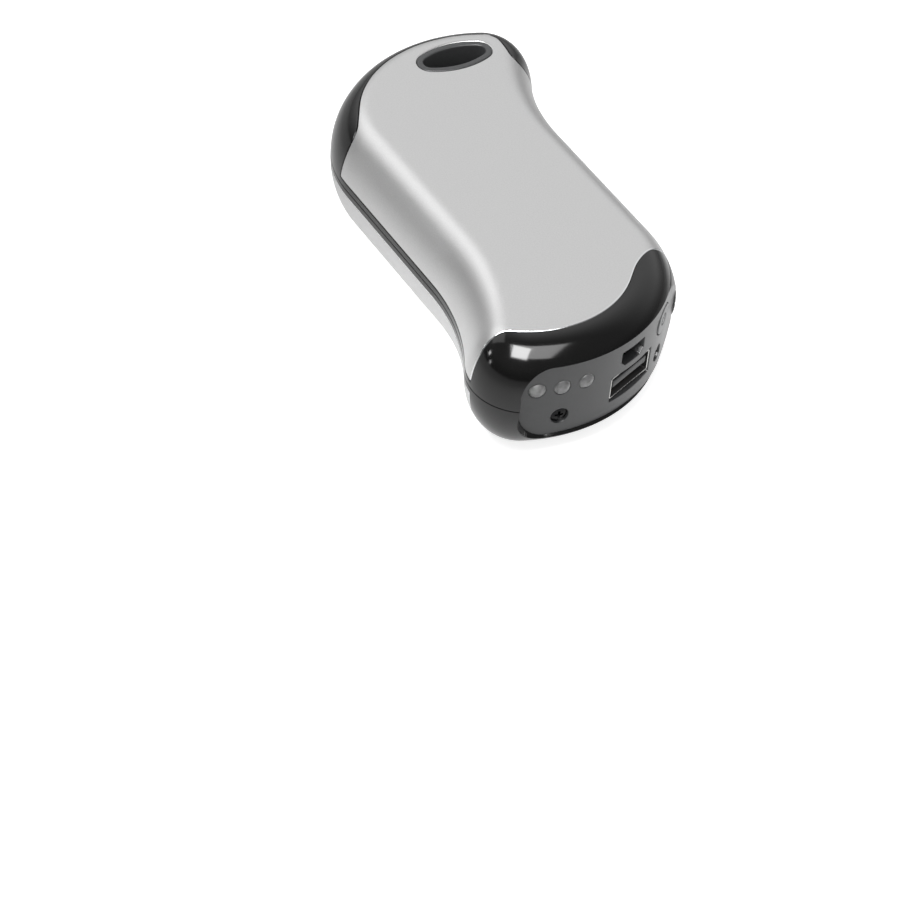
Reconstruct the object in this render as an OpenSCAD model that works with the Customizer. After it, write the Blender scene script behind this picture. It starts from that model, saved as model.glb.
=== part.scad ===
// Rechargeable hand warmer. Two curved metal heating plates sit in recesses of a
// two-piece plastic case, and a recessed end panel holds the ports, lights and button.
// It lies on its back plate, with the lanyard hole towards +Y and the panel towards -Y.
// Inside the modules, heights are measured from the middle of the case thickness.

/* [Case outline] */
// Length of the case
body_len = 110; // [92:1:132]
// Width of the case
body_w = 58.4; // [48.6:0.2:70.2]
// Thickness of the case
body_t = 27.6; // [25:0.2:33]
// Radius of the round end faces
end_r = 36.5; // [31:0.5:43]
// Sideways shift of each end face's centre
end_shift = 8.9; // [7.5:0.1:10.5]
// Radius of the two tight corners
tight_r = 11.7; // [10:0.1:14]
// Turn of the end face at which the broad corner starts, in degrees
broad_turn = 44.2; // [38:0.2:48]
// How far the broad corners stay inside the full width
broad_in = 4.45; // [3.8:0.05:5.3]
// Radius of the hollow at each waist
waist_r = 48; // [40:1:57]
// How far the waists draw in from the full width
waist_in = 6.6; // [5.5:0.1:7.9]

/* [Case section] */
// Width of the rolled edge that runs from the flat face to the side
roll_w = 8.5; // [7.1:0.1:10]
// Half height of the upright band at the side
band_h = 0.4; // [0.3:0.1:1]
// Wall of the plastic case
case_wall = 1.6; // [1.4:0.1:1.9]
// Gap at the joint between the case halves
seam = 0.1; // [0.06:0.02:0.2]

/* [Heating plates] */
// Thickness of each plate
plate_t = 0.8; // [0.66:0.02:1]
// Thickness of each heater film
film_t = 0.2; // [0.16:0.02:0.25]
// Half height of the plastic band between the two plates
plate_edge = 1.6; // [1.3:0.1:2]
// Gap round a plate's edge
plate_gap = 0.12; // [0.08:0.02:0.16]
// Depth of the panel end's cap, from the end face to the plate
cap_depth = 9.1; // [7.6:0.1:10.9]
// Radius of that cap's border
cap_r = 24; // [20:0.5:26]
// Distance of the plate's border from the panel end, at the left side
near_left = 13.9; // [12.6:0.1:16.7]
// Distance of the plate's border from the panel end, at the right side
near_right = 24.1; // [21:0.1:27]
// Distance of the plate's far border from the other end
far_depth = 6.3; // [5.3:0.1:7.6]
// Radius of the far border
far_r = 28.2; // [26:0.2:33]
// Sideways place of the far border's centre
far_shift = 7.5; // [6.3:0.1:9]
// Distance of the front plate's far border from the other end, at the left side
far_left = 28; // [24:0.5:33]
// Distance of the far border from the other end, at the right side
far_right = 20.3; // [18:0.1:23]
// Sideways place of the far border's step at the right
far_step = 21.9; // [20.6:0.1:23]

/* [Lanyard hole] */
// Length of the grommet's rim
hole_len = 17.9; // [15:0.1:20]
// Width of the grommet's rim
hole_wid = 8.8; // [7.4:0.1:9.8]
// Radius of the rim's ends
hole_end_r = 3.2; // [2.7:0.1:3.8]
// Sideways place of the hole
hole_x = 9.8; // [9:0.1:10.6]
// Distance of the hole's centre from the end face
hole_in = 13.7; // [12.6:0.1:14.6]
// Width of the rim
rim_w = 1.4; // [1.2:0.05:1.7]
// Wall of the grommet's tube
tube_wall = 1.1; // [0.9:0.05:1.3]
// Thickness of the rim
rim_t = 1; // [0.85:0.05:1.2]
// Clearance of the tube in the plates and the case
tube_gap = 0.15; // [0.1:0.05:0.25]

/* [End panel] */
// Radius of the panel's face
panel_r = 36.4; // [34:0.1:40]
// Depth of the panel's face behind the end face
panel_in = 3.4; // [3:0.1:4]
// Thickness of the panel
panel_wall = 2.2; // [1.9:0.1:2.6]
// Upper edge of the panel
panel_top = 9.4; // [9:0.1:9.8]
// Lower edge of the panel, below the middle
panel_bot = 10; // [9.2:0.1:10.4]
// Left end of the panel, from the middle
panel_left = 23.2; // [22:0.1:24]
// Radius of the panel's left corners
panel_corner = 7; // [5.9:0.1:8.4]
// Turn from which the panel's face runs on straight
panel_flat = 45; // [44:0.5:46]
// Distance of the panel's lower right end from the middle
panel_right = 22.2; // [21.6:0.1:22.8]
// Height above the middle over which the panel runs on round the right side
panel_step = 3.5; // [3:0.1:4]
// Gap round the panel
panel_gap = 0.15; // [0.1:0.05:0.25]

/* [Panel fittings] */
// Diameter of the three status lights
light_d = 3.5; // [2.9:0.1:4.2]
// Angles of the status lights round the panel
light_turns = [-15.6, -7.2, 1.4];
// Height of the status lights
light_z = 2.7; // [2.65:0.05:2.9]
// Diameter of the panel screws' heads
screw_head_d = 3.7; // [3.2:0.1:4.2]
// Diameter of the panel screws' shanks
screw_d = 2; // [1.7:0.1:2.3]
// Length of the panel screws' shanks
screw_len = 5; // [4.5:0.1:6]
// Angles of the panel screws round the panel
screw_turns = [-7, 40.4];
// Height of the panel screws, below the middle
screw_z = 5.2; // [5:0.1:5.4]
// Diameter of the button's cap
button_d = 7; // [6:0.1:7.4]
// Angle of the button round the panel
button_turn = 41.9; // [41:0.1:43]
// Height of the button
button_z = 3.5; // [3.2:0.1:3.9]
// Travel of the button
button_travel = 0.4; // [0.3:0.05:0.45]
// Radial clearance of the button in the panel
button_fit = 0.1; // [0.06:0.01:0.1]

/* [Ports] */
// Angle of the USB A port round the panel
usb_turn = 22.6; // [21.5:0.1:23]
// Height of the USB A port's centre, below the middle
usb_z = 3.15; // [3.1:0.05:3.3]
// Outer width of the USB A shell
usb_w = 13; // [12.4:0.1:13.4]
// Outer height of the USB A shell
usb_h = 5.7; // [5.4:0.1:5.8]
// Length of the USB A shell
usb_len = 13; // [11:0.1:13.4]
// Clearance of the panel's cut-out at the sides of the USB A shell
usb_gap = 0.15; // [0.1:0.05:0.3]
// Height of the panel's cut-out for the USB A shell
usb_cut_h = 6.8; // [6.2:0.1:7]
// Angle of the micro USB port round the panel
micro_turn = 21.3; // [20.5:0.1:22]
// Outer width of the micro USB shell
micro_w = 7.4; // [6.9:0.1:7.8]
// Outer height of the micro USB shell
micro_h = 2.8; // [2.5:0.1:3]
// Width of the panel's cut-out for the micro USB plug
micro_cut_w = 7.2; // [7:0.1:7.6]
// Height of the panel's cut-out for the micro USB plug
micro_cut_h = 3.9; // [3.3:0.1:4.2]

/* [Inside] */
// Diameter of a battery cell
cell_d = 18.4; // [15.4:0.1:18.6]
// Length of a battery cell
cell_len = 65; // [54:0.5:65.2]
// Gap between the battery cells
cell_gap = 0.5; // [0.3:0.1:0.8]
// Distance of the cells' near end from the panel end
cell_in = 22; // [21.8:0.1:23]
// Thickness of the circuit board
board_t = 1.2; // [1:0.1:1.4]
// Height of the board's upper face
board_top = 2.4; // [2.35:0.05:2.5]
// Clearance between inner pieces
inner_gap = 0.3; // [0.2:0.05:0.4]

/* [Hidden] */
$fn = 48;

// Case outline: two halves, each a half turn of the other about the middle
half_t = body_t / 2;
end_c = [-end_shift, -body_len / 2 + end_r];
tight_x = -body_w / 2 + tight_r;
tight_turn = asin((tight_x + end_shift) / (end_r - tight_r));
tight_c = end_c + (end_r - tight_r) * outward(tight_turn);
broad_r = (body_w / 2 - broad_in + end_shift - end_r * sin(broad_turn)) / (1 - sin(broad_turn));
broad_c = end_c + (end_r - broad_r) * outward(broad_turn);
waist_c = [body_w / 2 - waist_in + waist_r,
  -tight_c[1] - sqrt(2 * waist_in * (waist_r + tight_r) - pow(waist_in, 2))];
waist_start = tangent(broad_c, broad_r, waist_c, -waist_r);
waist_end = atan2(waist_c[0] + tight_c[0], -tight_c[1] - waist_c[1]);

// Steps of the arcs and of the rolled edge
tight_steps = 12;
end_steps = 9;
broad_steps = 8;
waist_steps = 5;
roll_steps = 7;
corner_steps = 6;

// Layers of the case wall, and how far the bosses inside run into it
film_gap = 0.05;
film_room = 0.15;
recess_d = plate_t + film_t + film_room;
cavity_d = recess_d + case_wall;
boss_root = 0.6;

// Heater films: margin inside the flat face, and distances from the two ends
film_margin = 0.7;
film_near = 16.7;
film_far = 21.7;

// Borders of the plates: turns at which each border leaves its circle, and corner radii
cap_turns = [-32, 47];
cap_corners = [7, 16];
far_turns = [155, 240];
step_corners = [3.5, 4];
left_corner = 5;

tube_in = rim_w - tube_wall;
panel_c = [-end_shift, -body_len / 2 + panel_in + panel_r];
panel_end = near_right - 0.4;
flat_lift = 2;
panel_room = 1.5;
hole_c = [hole_x, body_len / 2 - hole_in];
far = 100;
fine = 0.002;

// Circuit board and leads
board_bot = board_top - board_t;
board_in = 4.3;
board_side = 0.55;
board_notches = [[-70, 8], [34, 70]];
board_notch_depth = 7.6;
board_back = -body_len / 2 + cell_in - 2.2;
rest_gap = 0.02;
lead_gap = 0.05;
wire_d = 1.2;
heater_wire_d = 0.9;
heater_lead_x = -16.6;
heater_lead_y = board_back - 1.4;
heater_lead_step = 0.6;
heater_slot_size = [2.8, 1.6];
// Battery cells
cell_x = (cell_d + cell_gap) / 2;
cell_y = -body_len / 2 + cell_in;
tab_t = 0.2;

// Screws, their bosses and clearances
thread_gap = 0.03;
shank_gap = 0.15;
head_gap = 0.1;
cross_share = 0.6;
cross_w = 0.5;
boss_r = 2.4;
screw_head_h = 1;
screw_sink = 0.3;
screw_boss_r = 1.8;
screw_boss_y = panel_wall + 0.5;
screw_boss_len = screw_len + 0.6;
case_screw_d = 2;
case_screw_head_d = 3.6;
case_screw_head_h = 1.1;
case_screw_sink = 1;
case_screw_len = 12;
case_screw_spots = [[-8, body_len / 2 - 14], [body_w / 2 - 9.1, body_len / 2 - 19],
  [9.2 - body_w / 2, 16.5 - body_len / 2]];

// Ports, button and switch, as depths behind the panel's face
micro_z = board_top + micro_h / 2;
port_front = 0.8;
tongue_low = -0.3;
micro_front_y = panel_wall + 0.5;
button_proud = 0.1;
flange_y = panel_wall + 0.45;
flange_t = 0.7;
flange_w = 0.8;
plunger_r = 1;
plunger_y = flange_y + 1.35;
switch_y = plunger_y + 0.9;
switch_size = [6, 3.6, 3.6];

// Direction that points out of the case at a turn counted from -Y towards +X
function outward(turn) = [sin(turn), -cos(turn)];

// Turn of the straight line that touches two round stretches, a hollow one negative
function tangent(c1, s1, c2, s2) =
  atan2(c2[1] - c1[1], c2[0] - c1[0]) + asin((s1 - s2) / norm(c2 - c1));

function arc(c, r, from, to, steps, last) =
  [for (i = [0 : last]) c + r * outward(from + (to - from) * i / steps)];

// Half of the outline, drawn in by d
function half_outline(d) = concat(
  arc(tight_c, tight_r - d, waist_end - 180, tight_turn, tight_steps, tight_steps - 1),
  arc(end_c, end_r - d, tight_turn, broad_turn, end_steps, end_steps - 1),
  arc(broad_c, broad_r - d, broad_turn, waist_start, broad_steps, broad_steps),
  arc(waist_c, -waist_r - d, waist_start, waist_end, waist_steps, waist_steps - 1));

function outline(d) = let (h = half_outline(d)) concat(h, -h);

function unit(v) = v / norm(v);

// A point moved to a fine grid, so that the flat faces of the case meet cleanly
function on_grid(p) = [for (x = p) round(x / fine) * fine];

// Points of a rounded corner at q, between p and s
function corner(p, q, s, r) =
  let (u = unit(p - q), w = unit(s - q), half = acos(u * w) / 2,
    c = q + unit(u + w) * r / sin(half),
    a = q + u * r / tan(half) - c,
    b = q + w * r / tan(half) - c,
    from = atan2(a[1], a[0]),
    turn = (atan2(b[1], b[0]) - from + 540) % 360 - 180)
  [for (i = [0 : corner_steps]) c + r * [cos(from + turn * i / corner_steps),
    sin(from + turn * i / corner_steps)]];

// Outline through [x, y, corner radius] points
function softened(pts) = [for (i = [0 : len(pts) - 1])
  let (n = len(pts), p = pts[(i + n - 1) % n], q = pts[i], s = pts[(i + 1) % n])
  each q[2] == 0 ? [[q[0], q[1]]]
    : corner([p[0], p[1]], [q[0], q[1]], [s[0], s[1]], q[2])];

// Where tangents of a circle cross each other, or a level line
function between(c, r, a, b) = c + r / cos((b - a) / 2) * outward((a + b) / 2);
function on_level(c, r, a, y) =
  let (p = c + r * outward(a)) [p[0] + (y - p[1]) / tan(a), y];

// Plan of a heating plate, with its far left border at a given distance from the end
function plate_plan(left) =
  let (nc = [-end_shift, -body_len / 2 + cap_depth + cap_r],
    fc = [far_shift, body_len / 2 - far_depth - far_r],
    nl = -body_len / 2 + near_left,
    nr = -body_len / 2 + near_right,
    fr = body_len / 2 - far_right,
    fl = body_len / 2 - left,
    a = on_level(nc, cap_r, cap_turns[0], nl),
    b = between(nc, cap_r, cap_turns[0], cap_turns[1]),
    c = on_level(nc, cap_r, cap_turns[1], nr),
    e = fc + far_r * outward(far_turns[0]),
    f = between(fc, far_r, far_turns[0], far_turns[1]),
    g = on_level(fc, far_r, far_turns[1], fl),
    step_y = e[1] + (far_step - e[0]) * tan(far_turns[0]))
  softened([[-far, nl, 0], [a[0], a[1], cap_corners[0]], [b[0], b[1], cap_r],
    [c[0], c[1], cap_corners[1]], [far, nr, 0], [far, fr, 0], [far_step, fr, step_corners[0]],
    [far_step, step_y, step_corners[1]], [f[0], f[1], far_r], [g[0], g[1], left_corner],
    [-far, fl, 0]]);

module seated() {
  translate([0, 0, half_t]) children();
}

// The outer form of the case, drawn in by d on every side
module case_form(d) {
  turns = [for (i = [0 : roll_steps]) 90 * i / roll_steps];
  ring = [for (t = turns) [d + (roll_w - d) * (1 - cos(t)),
    band_h + (half_t - band_h - d) * sin(t)]];
  rows = concat([for (i = [roll_steps : -1 : 0]) [ring[i][0], -ring[i][1]]], ring);
  n = len(outline(0));
  pts = [for (row = rows) each [for (p = outline(row[0])) on_grid([p[0], p[1], row[1]])]];
  sides = [for (k = [0 : len(rows) - 2]) each [for (i = [0 : n - 1])
    [k * n + i, (k + 1) * n + i, (k + 1) * n + (i + 1) % n, k * n + (i + 1) % n]]];
  base = [for (i = [0 : n - 1]) i];
  lid = [for (i = [n - 1 : -1 : 0]) (len(rows) - 1) * n + i];
  polyhedron(pts, concat([base], sides, [lid]));
}

// Oval of four arcs, drawn in by d
module oval(d) {
  a = hole_len / 2 - hole_end_r;
  side_r = (pow(a, 2) + pow(hole_wid / 2, 2) - pow(hole_end_r, 2)) / (hole_wid - 2 * hole_end_r);
  side_c = side_r - hole_wid / 2;
  meet = a * (1 + (hole_end_r - d) / (side_r - hole_end_r));
  translate(hole_c) {
    intersection() {
      translate([0, -side_c]) circle(r = side_r - d);
      translate([0, side_c]) circle(r = side_r - d);
      square([2 * meet, far], center = true);
    }
    for (x = [-a, a]) {
      translate([x, 0]) circle(r = hole_end_r - d);
    }
  }
}

// Places a fitting on the panel: its face is at y = 0 and +Y points into the case
module at_panel(turn, z) {
  p = panel_c + panel_r * outward(turn);
  translate([p[0], p[1], z]) rotate([0, 0, turn]) children();
}

module inward_rod(r, from, to) {
  translate([0, from, 0]) rotate([-90, 0, 0]) cylinder(r = r, h = to - from);
}

module block(size) {
  translate([-size[0] / 2, 0, -size[2] / 2]) cube(size);
}

// Front view of the panel, grown by g
module panel_front(g) {
  r = panel_corner;
  low = -panel_bot - g;
  right = panel_right + g;
  translate([r - panel_left, low]) square([panel_left - r + right, panel_top - low + g]);
  translate([right - 1, panel_step - g]) square([far, panel_top - panel_step + 2 * g]);
  translate([-panel_left - g, r - panel_bot]) square([panel_left, panel_top + panel_bot - 2 * r]);
  for (y = [r - panel_bot, panel_top - r]) {
    translate([r - panel_left, y]) circle(r = r + g);
  }
}

// What lies behind the panel's face: round, then nearly straight on from the flat's turn
module panel_face() {
  along = outward(panel_flat + 90 - flat_lift);
  start = panel_c + panel_r * outward(panel_flat) - along;
  translate([panel_c[0], panel_c[1], -far]) cylinder(r = panel_r, h = 2 * far);
  translate([0, 0, -far]) linear_extrude(2 * far)
    polygon([panel_c, start, start + panel_r * along]);
}

// The block between the panel's end and its right side, seen from the front
module panel_block(g) {
  translate([0, -body_len / 2 + panel_end + g, 0]) rotate([90, 0, 0])
    linear_extrude(far) panel_front(g);
}

module round_end(c, r, from, to) {
  ring = [for (i = [0 : roll_steps]) let (t = 90 * i / roll_steps)
    [r - roll_w * (1 - cos(t)), band_h + (half_t - band_h) * sin(t)]];
  down = [for (i = [roll_steps : -1 : 0]) [ring[i][0], -ring[i][1]]];
  intersection() {
    translate(c) rotate_extrude() polygon(concat([[0, -half_t]], down, ring, [[0, half_t]]));
    translate([0, 0, -half_t]) linear_extrude(body_t)
      polygon([c, c + far * outward(from), c + far * outward(to)]);
  }
}

module front_half() {
  translate([-far, -far, seam / 2]) cube([2 * far, 2 * far, far]);
}

module plate_prism(left, g) {
  translate([0, 0, plate_edge - g]) linear_extrude(far)
    offset(delta = g) polygon(plate_plan(left));
}

// A heating plate, as it lies on the front
module heat_plate(left, hole_gap) {
  resize([0, 0, 0]) difference() {
    intersection() {
      case_form(0);
      plate_prism(left, 0);
    }
    case_form(plate_t);
    linear_extrude(far) oval(-hole_gap);
  }
}

// Half of the case, as it lies on the front, without its bosses
module half_shell(left) {
  difference() {
    intersection() {
      case_form(0);
      front_half();
    }
    difference() {
      plate_prism(left, plate_gap);
      case_form(recess_d);
    }
    case_form(cavity_d);
    linear_extrude(far) oval(tube_in - tube_gap);
    heater_slot();
  }
}

module panel_opening() {
  difference() {
    panel_block(panel_gap);
    translate([panel_c[0], panel_c[1], -far]) cylinder(r = panel_r - panel_wall - panel_room, h = 2 * far);
  }
}

// Slot through which a heater film's leads reach the board
module heater_slot() {
  translate([heater_lead_x, heater_lead_y, 0]) linear_extrude(far)
    square(heater_slot_size, center = true);
}

module case_boss(spot, from, bore) {
  translate([spot[0], spot[1], from]) difference() {
    cylinder(r = boss_r, h = far);
    translate([0, 0, -1]) cylinder(r = bore / 2, h = case_screw_len / 2);
  }
}

module screw_boss(turn) {
  at_panel(turn, -screw_z) difference() {
    union() {
      inward_rod(screw_boss_r, screw_boss_y, screw_boss_y + screw_boss_len);
      translate([-screw_boss_r, screw_boss_y, -far]) cube([2 * screw_boss_r, screw_boss_len, far]);
    }
    inward_rod(screw_d / 2 + thread_gap, 0, screw_len + 2);
  }
}

module front_housing() {
  color("#1b1c1e") seated() resize([0, 0, 0]) {
    difference() {
      half_shell(far_left);
      panel_opening();
      translate([0, 0, half_t - rim_t - inner_gap]) linear_extrude(far) oval(-tube_gap);
    }
    intersection() {
      case_form(cavity_d - boss_root);
      for (spot = case_screw_spots) {
        case_boss(spot, seam / 2, case_screw_d + 2 * thread_gap);
      }
    }
  }
}

module back_housing() {
  color("#1b1c1e") seated() resize([0, 0, 0]) difference() {
    union() {
      difference() {
        mirror([0, 0, 1]) half_shell(far_right);
        panel_opening();
      }
      intersection() {
        case_form(cavity_d - boss_root);
        union() {
          for (turn = screw_turns) {
            screw_boss(turn);
          }
          for (spot = case_screw_spots) {
            mirror([0, 0, 1]) case_boss(spot, seam / 2, case_screw_d + 2 * shank_gap);
          }
        }
      }
    }
    for (spot = case_screw_spots) {
      translate([spot[0], spot[1], -far]) {
        cylinder(r = case_screw_head_d / 2 + shank_gap,
          h = far - half_t + recess_d + case_screw_sink + case_screw_head_h);
        cylinder(r = case_screw_d / 2 + shank_gap, h = far);
      }
    }
  }
}

module front_heat_plate() {
  color("#c2c4c6") seated() heat_plate(far_left, tube_gap);
}

module back_heat_plate() {
  color("#c2c4c6") seated() mirror([0, 0, 1]) heat_plate(far_right, tube_gap - tube_in);
}

module heater_film() {
  translate([0, 0, half_t - plate_t - film_gap - film_t]) linear_extrude(film_t)
    intersection() {
      polygon(outline(roll_w + film_margin));
      polygon(plate_plan(far_left));
      translate([-far, film_near - body_len / 2])
        square([2 * far, body_len - film_near - film_far]);
    }
}

module front_heater_film() {
  color("#c9803a") seated() heater_film();
}

module back_heater_film() {
  color("#c9803a") seated() mirror([0, 0, 1]) heater_film();
}

// Oval tube through both halves, with a rim on the front
module lanyard_grommet() {
  back_gap = 0.1;
  color("#6f7174") seated() difference() {
    union() {
      translate([0, 0, back_gap - half_t]) linear_extrude(body_t - back_gap - rim_t)
        oval(tube_in);
      translate([0, 0, half_t - rim_t]) linear_extrude(rim_t) oval(0);
    }
    translate([0, 0, -far]) linear_extrude(2 * far) oval(rim_w);
  }
}

// A countersunk screw that points along +Y, with its cross recess
module screw(head_d, head_h, shank_d, length) {
  difference() {
    inward_rod(head_d / 2, 0, head_h);
    for (turn = [0, 90]) {
      rotate([0, turn, 0]) translate([0, -1, 0])
        block([head_d * cross_share, 1 + head_h * cross_share, cross_w]);
    }
  }
  inward_rod(shank_d / 2, head_h, head_h + length);
}

module case_screws() {
  color("#3a3b3d") seated() for (spot = case_screw_spots) {
    translate([spot[0], spot[1], -half_t + recess_d + case_screw_sink]) rotate([90, 0, 0])
      screw(case_screw_head_d, case_screw_head_h, case_screw_d, case_screw_len);
  }
}

module panel_screws() {
  color("#202124") seated() for (turn = screw_turns) {
    at_panel(turn, -screw_z) translate([0, screw_sink, 0])
      screw(screw_head_d, screw_head_h, screw_d, screw_len);
  }
}

// Tray with half-round seats under the cells
module battery_cradle() {
  gap = 0.1;
  rib_w = 6;
  spine = [4, 1.5];
  shares = [0.12, 0.5, 0.88];
  floor_z = -half_t + cavity_d + gap;
  top_z = -cell_d / 4;
  width = 2 * cell_x + cell_d * 0.55;
  color("#d8d8d2") seated() difference() {
    union() {
      for (share = shares) {
        translate([-width / 2, cell_y + share * cell_len - rib_w / 2, floor_z])
          cube([width, rib_w, top_z - floor_z]);
      }
      translate([-spine[0] / 2, cell_y + shares[0] * cell_len, floor_z])
        cube([spine[0], cell_len * (shares[2] - shares[0]), spine[1]]);
    }
    for (x = [-cell_x, cell_x]) {
      translate([x, cell_y - 1, 0]) inward_rod(cell_d / 2 + gap, 0, cell_len + 2);
    }
  }
}

module battery_cell(side) {
  end_step = 0.4;
  rim = 2.5;
  color("#3f7fbf") seated() translate([side * cell_x, cell_y, 0]) {
    inward_rod(cell_d / 2, end_step, cell_len - 2 * end_step);
    inward_rod(cell_d / 2 - rim, 0, cell_len);
  }
}

module battery_cell_left() {
  battery_cell(-1);
}

module battery_cell_right() {
  battery_cell(1);
}

// Welded strips that join the cells at each end
module battery_tabs() {
  strip_h = 6.4;
  ear = [3, 3.6];
  ends = [cell_y - tab_t - rest_gap, cell_y + cell_len + rest_gap];
  color("#b9bcc0") seated() {
    for (y = ends) {
      translate([0, y, 0]) block([2 * cell_x + 6, tab_t, strip_h]);
    }
    translate([0, ends[1], strip_h / 2 + 1]) block([ear[0], tab_t, ear[1]]);
  }
}

module cell_pad(side) {
  pad = [8.8, 50];
  gap = 0.1;
  color("#2c2c2c") seated() translate([side * cell_x, cell_y + cell_len / 2, cell_d / 2 + gap])
    linear_extrude(half_t - cavity_d - cell_d / 2 - 2 * gap) square(pad, center = true);
}

module cell_pad_left() {
  cell_pad(-1);
}

module cell_pad_right() {
  cell_pad(1);
}

// Red lead from the near strip, black lead along the groove between the cells
module battery_leads() {
  r = wire_d / 2;
  run_z = cell_d * 0.3;
  red_x = 5.8;
  bend_y = board_back - 1.2;
  foot_z = board_top + lead_gap;
  color("#a02c2c") seated() {
    translate([red_x, 0, foot_z + r])
      inward_rod(r, bend_y - r, cell_y - tab_t - rest_gap - lead_gap);
    translate([0, 0, run_z]) {
      inward_rod(r, bend_y, cell_y + cell_len - 0.03);
      translate([0, bend_y, 0]) sphere(r = r);
    }
    translate([0, bend_y, foot_z]) cylinder(r = r, h = run_z - foot_z);
  }
}

// Two leads from each heater film to the board
module heater_leads() {
  r = heater_wire_d / 2;
  film_z = half_t - plate_t - film_gap - film_t;
  color("#c8c8c8") seated() for (side = [-1, 1]) {
    translate([heater_lead_x + side * heater_lead_step, heater_lead_y, 0]) {
      translate([0, 0, board_top + lead_gap]) cylinder(r = r, h = film_z - board_top - 2 * lead_gap);
      translate([0, 0, lead_gap - film_z]) cylinder(r = r, h = film_z + board_bot - 2 * lead_gap);
    }
  }
}

// Temperature bead against the ceiling of the case, above the groove
module thermistor() {
  r = 1.3;
  reach = 3;
  color("#202020") seated() translate([0, 0, half_t - cavity_d - lead_gap - r]) {
    inward_rod(r, -reach, reach);
    translate([0, reach, 0]) sphere(r = r);
  }
}

module board_plan() {
  difference() {
    intersection() {
      polygon(outline(cavity_d + board_side));
      translate(panel_c) circle(r = panel_r - board_in);
      translate([-far, board_back - far]) square([2 * far, far]);
    }
    for (span = board_notches) {
      intersection() {
        translate(panel_c) difference() {
          circle(r = panel_r);
          circle(r = panel_r - board_notch_depth);
        }
        polygon([panel_c, panel_c + far * outward(span[0]), panel_c + far * outward(span[1])]);
      }
    }
    for (spot = case_screw_spots) {
      translate(spot) circle(r = boss_r + inner_gap);
    }
  }
}

module circuit_board() {
  color("#1f6b3a") seated() translate([0, 0, board_bot]) linear_extrude(board_t) board_plan();
}

// Wound core between two round flanges
module inductor() {
  flange = [3, 0.6];
  core_r = 2.3;
  height = 3.2;
  color("#4a4a4c") seated() translate([-11.5, board_back - 3.7, board_top + rest_gap]) {
    cylinder(r = core_r, h = height);
    for (z = [0, height - flange[1]]) {
      translate([0, 0, z]) cylinder(r = flange[0], h = flange[1]);
    }
  }
}

module charger_chip() {
  size = 4;
  color("#1a1a1a") seated() translate([-4.2, board_back - 3.4, board_top + rest_gap])
    linear_extrude(size / 4) square(size, center = true);
}

module capacitor() {
  base = [3.4, 0.6];
  can = [1.6, 3.6];
  color("#8a8d90") seated() translate([2.6, board_back - 3.2, board_top + rest_gap]) {
    linear_extrude(base[1]) square(base[0], center = true);
    cylinder(r = can[0], h = can[1]);
  }
}

module usb_a_shell() {
  wall = 0.3;
  foot_w = 1.6;
  color("#c8cacc") seated() at_panel(usb_turn, -usb_z) {
    difference() {
      translate([0, port_front, 0]) block([usb_w, usb_len, usb_h]);
      translate([0, port_front - 1, 0]) block([usb_w - 2 * wall, usb_len + 1 - wall, usb_h - 2 * wall]);
    }
    for (x = [-1, 1], y = [5.4, 9.6]) {
      translate([x * (usb_w - wall) / 2 - wall / 2, y, usb_h / 2])
        cube([wall, foot_w, board_bot + usb_z - usb_h / 2 - rest_gap]);
    }
  }
}

module usb_a_insulator() {
  tongue = [11.2, 1.8];
  back_t = 2.1;
  color("#343536") seated() at_panel(usb_turn, -usb_z) {
    translate([0, port_front + 0.1, tongue_low + tongue[1] / 2])
      block([tongue[0], usb_len - 1.2, tongue[1]]);
    translate([0, port_front + usb_len - back_t - 0.5, 0]) block([usb_w - 1, back_t, usb_h - 1]);
  }
}

module usb_a_contacts() {
  strip = [1, 0.18];
  color("#d4b052") seated() at_panel(usb_turn, -usb_z) for (x = [-3.5, -1, 1, 3.5]) {
    translate([x, port_front + 0.5, tongue_low - strip[1] / 2 - rest_gap])
      block([strip[0], usb_len - 3.3, strip[1]]);
  }
}

// Opening of the micro port: wide at the top, with slanted lower corners
module micro_front(w, h, cut) {
  polygon([[-w / 2, h / 2], [-w / 2, cut - h / 2], [cut - w / 2, -h / 2],
    [w / 2 - cut, -h / 2], [w / 2, cut - h / 2], [w / 2, h / 2]]);
}

module micro_tube(w, h, cut, from, to) {
  translate([0, to, 0]) rotate([90, 0, 0]) linear_extrude(to - from) micro_front(w, h, cut);
}

module micro_usb_shell() {
  wall = 0.25;
  back_wall = 0.3;
  length = 5.2;
  slant = 1;
  color("#b9bcc0") seated() at_panel(micro_turn, micro_z + rest_gap) difference() {
    micro_tube(micro_w, micro_h, slant, micro_front_y, micro_front_y + length);
    micro_tube(micro_w - 2 * wall, micro_h - 2 * wall, slant - 0.1, micro_front_y - 1,
      micro_front_y + length - back_wall);
  }
}

module micro_usb_insulator() {
  tongue = [3.7, 3, 0.6];
  root = [micro_w - 2.8, 1, micro_h - 0.7];
  color("#242424") seated() at_panel(micro_turn, micro_z + rest_gap) {
    translate([0, micro_front_y + 0.9, 0.35]) block(tongue);
    translate([0, micro_front_y + 3.8, 0]) block(root);
  }
}

// Clear light: domed front, collar behind the panel and two legs on the board
module status_light(turn) {
  r = light_d / 2;
  face_y = 0.1;
  length = 5.2;
  collar = [0.35, 0.8];
  collar_y = panel_wall + inner_gap;
  color("#d9dbdc") seated() at_panel(turn, light_z) {
    inward_rod(r, face_y, length);
    intersection() {
      translate([0, face_y + r * 0.75, 0]) sphere(r = r * 1.25);
      inward_rod(r, -r, 2 * face_y);
    }
    inward_rod(r + collar[0], collar_y, collar_y + collar[1]);
    for (x = [-0.9, 0.9]) {
      translate([x, 0, 0]) inward_rod(0.24, length - 0.2, 8.6);
    }
  }
}

module status_light_left() {
  status_light(light_turns[0]);
}

module status_light_middle() {
  status_light(light_turns[1]);
}

module status_light_right() {
  status_light(light_turns[2]);
}

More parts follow.
